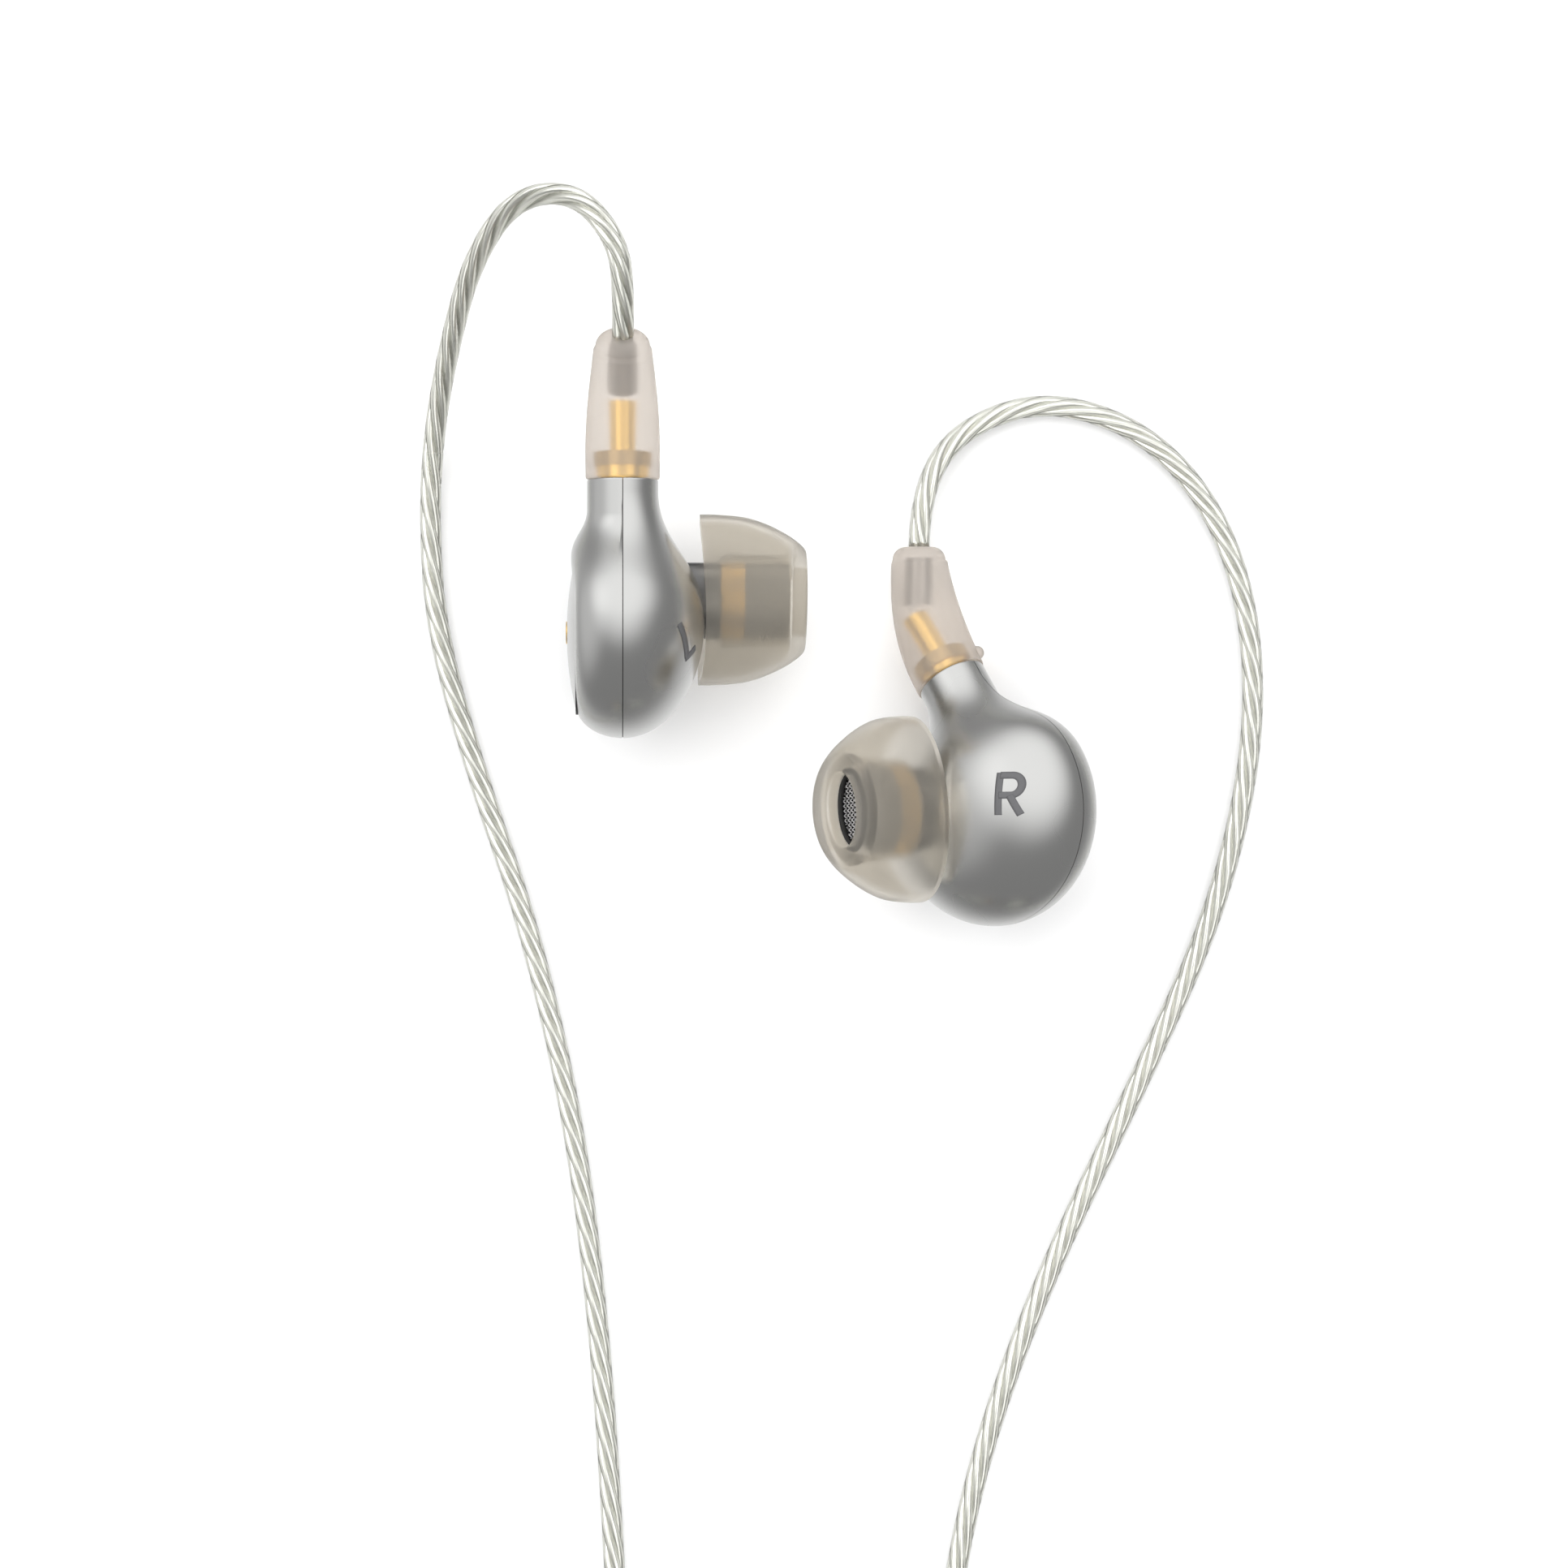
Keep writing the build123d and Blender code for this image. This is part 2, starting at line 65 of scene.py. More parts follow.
# The housing's cross sections: how many on the disc, on the shoulder and on the neck,
# and where the last two meet.
DISC_RINGS = 60
SHOULDER_RINGS = 40
NECK_RINGS = 70
SHOULDER_END = 6.2
SHELL_STEPS = 90
PLATE_X = -0.85
PLATE_HALF = (5.8, 5.2)
PLATE_SEAT = 2.95
PLATE_CROWN = 3.95
PLATE_RIM = 0.14
PLATE_SAG = 0.7
PLATE_GAP = 0.1
GAP_TOP = 3.31
GOLD_DOT_R = 0.8
GOLD_DOT_LIFT = 0.06
NOZZLE_AT = (1.55, -2.1)
NOZZLE_TURN = math.radians(30)
NOZZLE_HALF = (2.95, 1.6)
NOZZLE_END = 11.9
NOZZLE_WALL = 0.35
MESH_Z = 11.55
WIRE_PITCH = 0.24
WIRE_R = 0.055
WIRE_COUNT = 16
TIP_HALF = (6.6, 3.6)
# The tip's outside: (height, half length, half width), from the rim to the mouth.
TIP_SECTIONS = [
    (5.9, 6.6, 3.6),
    (6.8, 6.6, 3.62),
    (8.6, 6.4, 3.6),
    (10.2, 5.85, 3.54),
    (11.6, 5.08, 3.38),
    (12.4, 4.5, 3.16),
    (12.85, 4.08, 2.92),
    (13.04, 3.8, 2.7),
    (13.1, 3.5, 2.45),
]
TIP_FRONT = 13.1
TIP_RIM = 5.9
TIP_RIM_R = 48.0
TIP_SKIN = 0.5
TIP_MOUTH = (2.6, 1.32)
# The tip's inside ends this high; its core tube starts this high and is this thick.
TIP_INSIDE_END = 12.2
CORE_START = 7.0
CORE_SKIN = 0.5
TIP_FIT = 0.05
BOOT_START = 9.85
BOOT_BEND = math.radians(35.5)
BOOT_BEND_R = 16.7
BOOT_RADII = (2.6, 2.62, 2.55, 2.38, 2.15, 1.92)
# Radii that carry the row of boot radii on past both of its ends.
BOOT_BEFORE = BOOT_RADII[0] - 0.02
BOOT_AFTER = BOOT_RADII[-1] - 0.24
BOOT_END_R = 0.9
# The small raised ball on the right boot.
DOT_BALL_AT = (10.8, 4.3, -1.55)
DOT_BALL_R = 0.5

# Side letters: height, width of the box as a share of it, stroke width, turn from the neck's direction.
LETTER_HEIGHT = 2.95
LETTER_SQUEEZE = 0.88
LETTER_STROKE = 0.165
LETTER_TURN = math.radians(34.5)
INK_LIFT = 0.012
INK_THICK = 0.02

# How the two earpieces lie: centre in millimetres, neck direction, tip direction.
SIDES = {
    "left": {"at": (-14.72, 0.67, 8.3), "neck": (0, 1, 0), "tip": (0.9988, 0, -0.048), "flip": 1,
             "letter_at": (-1.3, 4.7)},
    "right": {"at": (11.58, -12.72, 6.88), "neck": (-0.4198, 0.8141, -0.4002),
              "tip": (-0.69, 0, 0.7238), "flip": -1, "letter_at": (-2.1, 4.95)},
}

# Cords: the same route points as the CAD, in metres.
CORD_D = 0.00155
MAIN_D = 0.002
COIL_LIFT = 0.0005
COIL_PITCH = 1.03
# The last share of a turn in which a coil climbs to its next layer.
COIL_CLIMB = 0.16
# Strands in a jacket: how many, then their orbit, radius and twist length as shares of the jacket's diameter.
STRANDS = 4
STRAND_ORBIT = 0.205
STRAND_R = 0.185
STRAND_PITCH = 6.6
STRAND_SIDES = 7
LEFT_LEAD = [
    (-0.01447, 0.01993, 0.01357),
    (-0.0143, 0.0226, 0.0155),
    (-0.0146, 0.0262, 0.0173),
    (-0.0175, 0.0297, 0.0169),
    (-0.022, 0.0298, 0.0137),
    (-0.0253, 0.0259, 0.0098),
    (-0.0273, 0.0204, 0.0056),
    (-0.0287, 0.0149, 0.0021),
    (-0.0292, 0.0086, 0.0008),
    (-0.0287, 0.0003, 0.0008),
    (-0.0257, -0.0103, 0.0008),
    (-0.0218, -0.0215, 0.0008),
    (-0.0185, -0.036, 0.0008),
    (-0.0167, -0.0514, 0.0008),
    (-0.0157, -0.0665, 0.0008),
]
RIGHT_LEAD = [
    (0.00653, 0.0062, 0.00207),
    (0.0066, 0.0102, 0.0019),
    (0.0093, 0.0149, 0.001),
    (0.0157, 0.0173, 0.0008),
    (0.023, 0.015, 0.0008),
    (0.0282, 0.0093, 0.0008),
    (0.0309, 0.0012, 0.0008),
    (0.031, -0.0088, 0.0008),
    (0.0282, -0.0206, 0.0008),
    (0.0223, -0.0334, 0.0008),
    (0.0163, -0.0457, 0.0008),
    (0.0116, -0.0578, 0.0008),
    (0.0089, -0.0695, 0.0008),
]
LEFT_TAIL = [
    (-0.0153, -0.0856, 0.0026),
    (-0.0129, -0.0906, 0.0016),
    (-0.0076, -0.0936, 0.0013),
    (-0.0049, -0.0986, 0.0016),
    (-0.0049, -0.118, 0.0016),
]
RIGHT_TAIL = [
    (0.0082, -0.0856, 0.0026),
    (0.0058, -0.0906, 0.0016),
    (0.0005, -0.0936, 0.0013),
    (-0.0023, -0.0986, 0.0016),
    (-0.0023, -0.118, 0.0016),
]
MAIN_LEAD = [
    (-0.0036, -0.126, 0.0017),
    (-0.0036, -0.1298, 0.0016),
    (-0.0016, -0.134, 0.0014),
    (0.003, -0.1362, 0.0012),
    (0.0095, -0.136, 0.0012),
]
MAIN_TAIL = [
    (0.003, -0.1268, 0.0075),
    (0.0026, -0.132, 0.0069),
    (0.0002, -0.137, 0.0058),
    (-0.0036, -0.1402, 0.0043),
    (-0.0084, -0.1406, 0.0035),
]
# Coils: centre, radius of the outermost turn, turns, layers, angle where the cord comes in, way round.
LEFT_COIL = ((-0.0255, -0.081), 0.0102, 5, 2, 0, -1)
RIGHT_COIL = ((0.0184, -0.081), 0.0102, 5, 2, 180, 1)
MAIN_COIL = ((0.017, -0.122), 0.014, 11.75, 4, 270, 1)
TURN_POINTS = 16


# ---------------------------------------------------------------- materials

def new_material(name):
    material = bpy.data.materials.new(name)
    material.use_nodes = True
    tree = material.node_tree
    return material, tree, tree.nodes["Principled BSDF"]


def set_inputs(shader, **values):
    for name, value in values.items():
        shader.inputs[name.replace("_", " ")].default_value = value


def colour(r, g, b):
    return (r, g, b, 1.0)


def noise(tree, scale):
    """A noise texture in the object's own coordinates; scale is its cells per metre."""
    place = tree.nodes.new("ShaderNodeTexCoord")
    texture = tree.nodes.new("ShaderNodeTexNoise")
    texture.inputs["Scale"].default_value = scale
    texture.inputs["Detail"].default_value = 2.0
    tree.links.new(place.outputs["Object"], texture.inputs["Vector"])
    return texture


def add_bump(tree, shader, scale, depth):
    texture = noise(tree, scale)
    bump = tree.nodes.new("ShaderNodeBump")
    bump.inputs["Strength"].default_value = 1.0
    bump.inputs["Distance"].default_value = depth
    tree.links.new(texture.outputs["Fac"], bump.inputs["Height"])
    tree.links.new(bump.outputs["Normal"], shader.inputs["Normal"])


def vary(tree, shader, socket, scale, low, high):
    """A socket that drifts between two values over the surface."""
    texture = noise(tree, scale)
    reach = tree.nodes.new("ShaderNodeMapRange")
    reach.inputs["From Min"].default_value = 0.0
    reach.inputs["From Max"].default_value = 1.0
    reach.inputs["To Min"].default_value = low
    reach.inputs["To Max"].default_value = high
    tree.links.new(texture.outputs["Fac"], reach.inputs["Value"])
    tree.links.new(reach.outputs["Result"], shader.inputs[socket])


def vary_colour(tree, shader, scale, first, second):
    texture = noise(tree, scale)
    ramp = tree.nodes.new("ShaderNodeValToRGB")
    ramp.color_ramp.elements[0].position = 0.0
    ramp.color_ramp.elements[0].color = first
    ramp.color_ramp.elements[1].position = 1.0
    ramp.color_ramp.elements[1].color = second
    tree.links.new(texture.outputs["Fac"], ramp.inputs["Fac"])
    tree.links.new(ramp.outputs["Color"], shader.inputs["Base Color"])


def metal(name, shade, rough):
    """Satin metal whose colour and roughness drift a little."""
    material, tree, shader = new_material(name)
    set_inputs(shader, Metallic=1.0)
    vary_colour(tree, shader, 120, colour(*[0.97 * c for c in shade]), colour(*shade))
    vary(tree, shader, "Roughness", 90, rough - 0.02, rough + 0.02)
    return material


def plastic(name, shade, rough, grain=4e-6, scale=3500):
    material, tree, shader = new_material(name)
    vary_colour(tree, shader, 500, colour(*[0.85 * c for c in shade]), colour(*shade))
    vary(tree, shader, "Roughness", 900, rough - 0.04, rough + 0.04)
    add_bump(tree, shader, scale, grain)
    return material


def frosted(name, shade, rough, clear, ior):
    """Milky silicone: rough transmission over a little diffuse colour."""
    material, tree, shader = new_material(name)
    set_inputs(shader, Transmission_Weight=clear, IOR=ior, Roughness=rough)
    vary_colour(tree, shader, 120, colour(*[0.97 * c for c in shade]), colour(*shade))
    return material


def clear_jacket():
    material, tree, shader = new_material("clear_jacket")
    set_inputs(shader, Base_Color=colour(0.97, 0.975, 0.965), Transmission_Weight=1.0, IOR=1.4)
    vary(tree, shader, "Roughness", 600, 0.02, 0.06)
    return material


STEEL = metal("satin_housing", (0.60, 0.60, 0.59), 0.27)
PLATE = metal("satin_plate", (0.62, 0.62, 0.61), 0.24)
GOLD = metal("gold_plate", (0.88, 0.58, 0.15), 0.25)
DARK_STEEL = metal("nozzle_steel", (0.16, 0.16, 0.16), 0.3)
WIRE = metal("mesh_wire", (0.62, 0.61, 0.62), 0.3)
SILVER = metal("silver_strand", (0.66, 0.66, 0.61), 0.28)
CRIMP = metal("crimp", (0.42, 0.40, 0.38), 0.4)
TIP_RUBBER = frosted("tip_silicone", (0.685, 0.655, 0.60), 0.37, 0.93, 1.16)
BOOT_RUBBER = frosted("boot_silicone", (0.66, 0.615, 0.57), 0.5, 0.75, 1.2)
JACKET = clear_jacket()
BLACK = plastic("black_moulding", (0.028, 0.028, 0.03), 0.45)
# Near-black painted shade, laid in the seam, in the gap round the face plate, inside the nozzle's mouth and
# behind the mesh.
SHADE_BLACK = plastic("painted_shade_black", (0.008, 0.008, 0.008), 0.6)
INK = plastic("grey_mark", (0.11, 0.11, 0.115), 0.5, 5e-7)
IVORY = plastic("insulator", (0.80, 0.77, 0.70), 0.4)
COLLAR = metal("collar", (0.50, 0.35, 0.15), 0.35)
STRAP = plastic("strap", (0.03, 0.03, 0.032), 0.7, 1e-5, 2500)


# ---------------------------------------------------------------- mesh helpers

def piece(name, vertices, faces, material, body=None, slot=None):
    """A smooth mesh object that rides on a body."""
    mesh = bpy.data.meshes.new(name)
    mesh.from_pydata(vertices, [], faces)
    mesh.validate()
    mesh.update()
    mesh.polygons.foreach_set("use_smooth", [True] * len(mesh.polygons))
    thing = bpy.data.objects.new(name, mesh)
    bpy.context.scene.collection.objects.link(thing)
    mesh.materials.append(material)
    if body:
        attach(thing, body)
    return thing


def grid_faces(rows, columns, wrap=True, start=0):
    """Quads over rows of points; wrap joins the last column to the first."""
    faces = []
    last = columns if wrap else columns - 1
    for i in range(rows - 1):
        for j in range(last):
            k = (j + 1) % columns
            a = start + i * columns
            b = a + columns
            faces.append((a + j, a + k, b + k, b + j))
    return faces


def lofted(rings):
    """A closed skin over rings of equally many points, with a cap on each end."""
    count = len(rings[0])
    vertices = [p for ring in rings for p in ring]
    faces = grid_faces(len(rings), count)
    faces.append(tuple(reversed(range(count))))
    top = (len(rings) - 1) * count
    faces.append(tuple(range(top, top + count)))
    return vertices, faces


def looped(rings):
    """A closed skin over rings of equally many points, the last ring joined to the first."""
    count = len(rings[0])
    vertices = [p for ring in rings for p in ring]
    faces = grid_faces(len(rings), count)
    last = (len(rings) - 1) * count
    faces += [(last + j, last + (j + 1) % count, (j + 1) % count, j) for j in range(count)]
    return vertices, faces


def catmull(p, q, r, s, t):
    """Between q and r on a Catmull-Rom curve, at share t."""
    return 0.5 * (2 * q + (r - p) * t + (2 * p - 5 * q + 4 * r - s) * t * t
                  + (3 * q - p - 3 * r + s) * t ** 3)


def turned(u, v, turn):
    """A plane point turned about the origin."""
    return (u * math.cos(turn) - v * math.sin(turn), u * math.sin(turn) + v * math.cos(turn))


def oval_ring(half, x0, y0, z, count, turn=0.0):
    ring = []
    for i in range(count):
        a = 2 * math.pi * i / count
        x, y = turned(half[0] * math.cos(a), half[1] * math.sin(a), turn)
        ring.append((x0 + x, y0 + y, z))
    return ring


def boundary(inside, reach, steps):
    """How far from 0 towards reach a test stays true."""
    low = 0.0
    high = reach
    for _ in range(steps):
        middle = (low + high) / 2
        if inside(middle):
            low = middle
        else:
            high = middle
    return low


def outward(thing):
    """Turns all faces of a closed piece outwards."""
    work = bmesh.new()
    work.from_mesh(thing.data)
    bmesh.ops.recalc_face_normals(work, faces=work.faces)
    work.to_mesh(thing.data)
    work.free()


def apply_modifiers(thing):
    """Puts a piece's modifiers into its mesh."""
    graph = bpy.context.evaluated_depsgraph_get()
    graph.update()
    mesh = bpy.data.meshes.new_from_object(thing.evaluated_get(graph))
    thing.modifiers.clear()
    thing.data = mesh


def sharp_edges(thing, degrees):
    thing.data.set_sharp_from_angle(angle=math.radians(degrees))


def earpiece_matrix(side):
    """From an earpiece's own millimetres to the row frame in metres."""
    facts = SIDES[side]
    tip = Vector(facts["tip"]).normalized()
    neck = Vector(facts["neck"])
    neck = (neck - tip * neck.dot(tip)).normalized()
    across = tip.cross(neck) * facts["flip"]
    turn = Matrix((neck, across, tip)).transposed().to_4x4()
    return Matrix.Translation(Vector(facts["at"]) * MM) @ turn @ Matrix.Scale(MM, 4)


def settle(thing, side):
    """Moves a piece drawn in an earpiece's own millimetres to its place."""
    thing.data.transform(earpiece_matrix(side))
    thing.data.update()
    outward(thing)


# ---------------------------------------------------------------- housing

def smooth_min(a, b, k):
    h = max(k - abs(a - b), 0.0) / k
    return min(a, b) - h * h * k / 4


def pebble_field(x, y, z):
    """Below zero inside the housing's body without its neck."""
    reach = DISC_R if x < 0 else DISC_NECK_SIDE
    r = math.hypot(x / reach, y / DISC_R) * DISC_R
    if z >= 0:
        return (math.hypot(r / DISC_R, z / DOME) - 1) * DOME
    if r < BACK_FLAT:
        crown = BACK + BACK_CROWN * (1 - (r / BACK_FLAT) ** 2)
        return -z - crown
    corner = DISC_R - BACK_FLAT
    return (math.hypot((r - BACK_FLAT) / corner, z / BACK) - 1) * BACK


def housing_field(x, y, z):
    """Below zero inside the whole housing."""
    neck = math.hypot(y - NECK_Y, z) - NECK_R
    if x < NECK_FADE_FROM:
        neck += (NECK_FADE_FROM - x) * NECK_FADE
    return smooth_min(pebble_field(x, y, z), neck, BLEND)


def reach_out(x, centre, angle):
    """How far the housing's surface is from (x, centre, 0), across the neck's direction."""
    dy = math.cos(angle)
    dz = math.sin(angle)
    return boundary(lambda far: housing_field(x, centre + far * dy, far * dz) < 0, 12.0, 26)


def ring_places():
    """Where the housing's cross sections are, closer together where it turns quickly."""
    places = []
    for i in range(1, DISC_RINGS + 1):
        places.append(-DISC_R * math.cos(math.pi / 2 * i / DISC_RINGS) * 0.9999)
    for i in range(1, SHOULDER_RINGS + 1):
        places.append(SHOULDER_END * i / SHOULDER_RINGS)
    for i in range(1, NECK_RINGS + 1):
        places.append(SHOULDER_END + (NECK_END - NECK_LIP - SHOULDER_END) * i / NECK_RINGS)
    return places


def ring_centre(x):
    """The centre of a cross section moves from the disc's middle to the neck's axis."""
    t = min(max((x - 4.0) / 3.5, 0.0), 1.0)
    return NECK_Y * t * t * (3 - 2 * t)


def half_shell(side, upper):
    """One shell of the housing: sections across the neck, open on the seam side, then thickened inwards."""
    sign = 1 if upper else -1
    rows = []
    for x in ring_places():
        centre = ring_centre(x)
        row = []
        for j in range(SHELL_STEPS + 1):
            angle = sign * math.pi * j / SHELL_STEPS
            r = reach_out(x, centre, angle)
            z = r * math.sin(angle)
            if abs(z) < SEAM:
                z = sign * SEAM
            row.append((x, centre + r * math.cos(angle), z))
        rows.append(row)
    neck_ring = rows[-1]
    for inset, along in ((0.02, 0.06), (0.06, 0.1), (NECK_LIP, NECK_LIP)):
        x = NECK_END - NECK_LIP + along
        shrink = 1 - inset / NECK_R
        row = []
        for _, y, z in neck_ring:
            row.append((x, NECK_Y + (y - NECK_Y) * shrink, z * shrink if abs(z) > SEAM else z))
        rows.append(row)
    vertices = [p for row in rows for p in row]
    faces = grid_faces(len(rows), SHELL_STEPS + 1, wrap=False)
    pole = len(vertices)
    vertices.append((-DISC_R, 0, sign * SEAM))
    faces += [(pole, j + 1, j) for j in range(SHELL_STEPS)]
    name = f"{side}_{'inner' if upper else 'outer'}_shell_skin"
    thing = piece(name, vertices, faces, STEEL, f"{side}_earpiece", "housing")
    work = bmesh.new()
    work.from_mesh(thing.data)
    bmesh.ops.recalc_face_normals(work, faces=work.faces)
    probe = max(work.faces, key=lambda f: sign * f.calc_center_median().z)
    if probe.normal.z * sign < 0:
        bmesh.ops.reverse_faces(work, faces=work.faces)
    work.to_mesh(thing.data)
    work.free()
    thick = thing.modifiers.new("wall", "SOLIDIFY")
    thick.thickness = WALL
    thick.offset = -1
    apply_modifiers(thing)
    for vertex in thing.data.vertices:
        if sign * vertex.co.z < SEAM:
            vertex.co.z = sign * SEAM
    return thing


def cut_plate_seat(shell):
    """Cuts the oval seat of the face plate into the outer shell."""
    rings = [oval_ring(PLATE_HALF, PLATE_X, 0, z, 160) for z in (-PLATE_SEAT, -6.0)]
    cutter = piece("seat_cutter", *lofted(rings), STEEL)
    outward(cutter)
    cut = shell.modifiers.new("seat", "BOOLEAN")
    cut.operation = "DIFFERENCE"
    cut.solver = "EXACT"
    cut.object = cutter
    apply_modifiers(shell)
    bpy.data.objects.remove(cutter)


def face_plate(side):
    """A crowned oval with a rounded rim."""
    half = (PLATE_HALF[0] - PLATE_GAP, PLATE_HALF[1] - PLATE_GAP)
    rim_share = 1 - PLATE_RIM / half[1]
    levels = [(0.985, -PLATE_SEAT - 0.01), (1.0, -PLATE_SEAT - 0.06)]
    edge = -PLATE_CROWN + PLATE_SAG * rim_share ** 2
    for i in range(7):
        a = math.pi / 2 * i / 6
        share = 1 - PLATE_RIM / half[1] * (1 - math.cos(a))
        levels.append((share, edge + PLATE_RIM - PLATE_RIM * math.sin(a)))
    for i in range(1, 25):
        share = rim_share * (1 - i / 25)
        levels.append((share, -PLATE_CROWN + PLATE_SAG * share * share))
    rings = [oval_ring((half[0] * share, half[1] * share), PLATE_X, 0, z, 120) for share, z in levels]
    thing = piece(f"{side}_plate_skin", *lofted(rings), PLATE, f"{side}_earpiece", "plate")
    settle(thing, side)
    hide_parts(f"{side}_face_plate")


def closed_band(name, levels, x, y, count, material, side, slot, turn=0.0):
    """A closed ring whose section is the list of (half length, half width, height) corners."""
    rings = [oval_ring((u, v), x, y, z, count, turn) for u, v, z in levels]
    thing = piece(name, *looped(rings), material, f"{side}_earpiece", slot)
    settle(thing, side)


def plate_details(side):
    """A near-black ring of painted shade in the gap round the face plate, and a plain gold dot on it."""
    inner = (PLATE_HALF[0] - PLATE_GAP, PLATE_HALF[1] - PLATE_GAP)
    bottom = -PLATE_SEAT - 0.01
    gap = [(*inner, bottom), (*PLATE_HALF, bottom), (*PLATE_HALF, -GAP_TOP), (*inner, -GAP_TOP)]
    closed_band(f"{side}_plate_gap_shade", gap, PLATE_X, 0, 120, SHADE_BLACK, side, "plate")
    rings = []
    for share, lift in ((0.9, -2.5), (1.0, -2.3), (1.0, 0.5), (0.95, 0.85), (0.85, 1.0), (0.4, 1.1)):
        r = GOLD_DOT_R * share
        rings.append(oval_ring((r, r), PLATE_X, 0, -PLATE_CROWN - GOLD_DOT_LIFT * lift, 64))
    thing = piece(f"{side}_gold_dot", *lofted(rings), GOLD, f"{side}_earpiece", "gold")
    settle(thing, side)
    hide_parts(f"{side}_face_inlay")


def painted_seam_shade(side):
    """A thin strip of near-black painted shade in the seam, from the neck's end round to its other side, to
    stop the light.
    """
    one_way = []
    other_way = []
    for x in ring_places():
        centre = ring_centre(x)
        one_way.append((x, centre + reach_out(x, centre, 0)))
        other_way.append((x, centre - reach_out(x, centre, math.pi)))
    path = one_way[::-1] + [(-DISC_R, 0.0)] + other_way
    rings = []
    for i, (x, y) in enumerate(path):
        before = path[max(i - 1, 0)]
        after = path[min(i + 1, len(path) - 1)]
        along = Vector((after[0] - before[0], after[1] - before[1])).normalized()
        near, deep = SEAM_FILL
        ring = []
        for inset, way in ((near, 1), (near, -1), (deep, -1), (deep, 1)):
            ring.append((x - inset * along.y, y + inset * along.x, way * SEAM_FILL_SHARE * SEAM))
        rings.append(ring)
    thing = piece(f"{side}_painted_seam_shade", *lofted(rings), SHADE_BLACK, f"{side}_earpiece", "housing")
    settle(thing, side)


def build_housing(side):
    """Both shells, the strip of painted shade in their seam and the face plate."""
    for upper in (True, False):
        shell = half_shell(side, upper)
        if not upper:
            cut_plate_seat(shell)
        settle(shell, side)
        sharp_edges(shell, 40)
        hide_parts(f"{side}_{'inner' if upper else 'outer'}_shell")
    painted_seam_shade(side)
    face_plate(side)
    plate_details(side)


# ---------------------------------------------------------------- ear tip

def tip_point(half, z, angle):
    """A point of an oval on the nozzle's axis."""
    x, y = turned(half[0] * math.cos(angle), half[1] * math.sin(angle), NOZZLE_TURN)
    return (NOZZLE_AT[0] + x, NOZZLE_AT[1] + y, z)


def smooth_curve(points, per_span):
    """A Catmull-Rom curve through points."""
    padded = [points[0]] + list(points) + [points[-1]]
    curve = []
    for a, b, c, d in zip(padded, padded[1:], padded[2:], padded[3:]):
        for i in range(per_span):
            t = i / per_span
            curve.append(tuple(catmull(*row, t) for row in zip(a, b, c, d)))
    curve.append(tuple(points[-1]))
    return curve


def rim_drop(angle, z):
    """How much lower the saddle cut puts the rim at the tip's long ends; it fades out above the rim."""
    along = TIP_HALF[0] * math.cos(angle)
    fade = max(0.0, 1 - (z - TIP_RIM) / 3.0)
    return along * along / (2 * TIP_RIM_R) * fade


def ear_tip(side):
    """Skirt and core tube as one closed skin: outside, front, down the mouth, up inside the skirt."""
    count = 128
    angles = [2 * math.pi * i / count for i in range(count)]
    outside = smooth_curve(TIP_SECTIONS, 4)
    rings = [[tip_point((u, v), z - rim_drop(a, z), a) for a in angles] for z, u, v in outside]
    grip = (NOZZLE_HALF[0] + TIP_FIT, NOZZLE_HALF[1] + TIP_FIT)
    core = (grip[0] + CORE_SKIN, grip[1] + CORE_SKIN)
    bridge = (core[0] + 0.3, core[1] + 0.2)
    plain = [
        (TIP_MOUTH[0] + 0.25, TIP_MOUTH[1] + 0.2, TIP_FRONT + 0.01),
        (TIP_MOUTH[0] + 0.12, TIP_MOUTH[1] + 0.08, TIP_FRONT - 0.01),
        (TIP_MOUTH[0] + 0.03, TIP_MOUTH[1] + 0.02, TIP_FRONT - 0.08),
        (*TIP_MOUTH, TIP_FRONT - 0.2),
        (*TIP_MOUTH, NOZZLE_END + 0.08),
        (*grip, NOZZLE_END + 0.04),
        (*grip, CORE_START + 0.1),
        (grip[0] + 0.1, grip[1] + 0.1, CORE_START),
        (core[0] - 0.1, core[1] - 0.1, CORE_START),
        (*core, CORE_START + 0.1),
        (*core, 9.0),
        (*core, 11.2),
        (*bridge, 12.0),
    ]
    rings += [[tip_point((u, v), z, a) for a in angles] for u, v, z in plain]
    for z, u, v in reversed(outside):
        if z > TIP_INSIDE_END:
            continue
        lower = TIP_SKIN * 0.4 * min(1, (z - TIP_RIM) / 3)
        rings.append([tip_point((u - TIP_SKIN, v - TIP_SKIN), z - lower - rim_drop(a, z), a) for a in angles])
    thing = piece(f"{side}_tip_skin", *looped(rings), TIP_RUBBER, f"{side}_tip", "silicone")
    thing.visible_shadow = False
    settle(thing, side)
    sharp_edges(thing, 50)
    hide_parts(f"{side}_ear_tip")


def painted_mouth_shade(side):
    """A near-black lining of painted shade inside the nozzle's mouth, down to the mesh."""
    half = (NOZZLE_HALF[0] - NOZZLE_WALL, NOZZLE_HALF[1] - NOZZLE_WALL)
    levels = []
    for grow, z in ((-0.02, MESH_Z - 0.3), (-0.02, NOZZLE_END + 0.02), (0.28, NOZZLE_END + 0.02),
                    (0.28, NOZZLE_END - 0.04), (0.01, NOZZLE_END - 0.06), (0.01, MESH_Z - 0.3)):
        levels.append((half[0] + grow, half[1] + grow, z))
    closed_band(f"{side}_painted_mouth_shade", levels, *NOZZLE_AT, 96, SHADE_BLACK, side, "nozzle", NOZZLE_TURN)


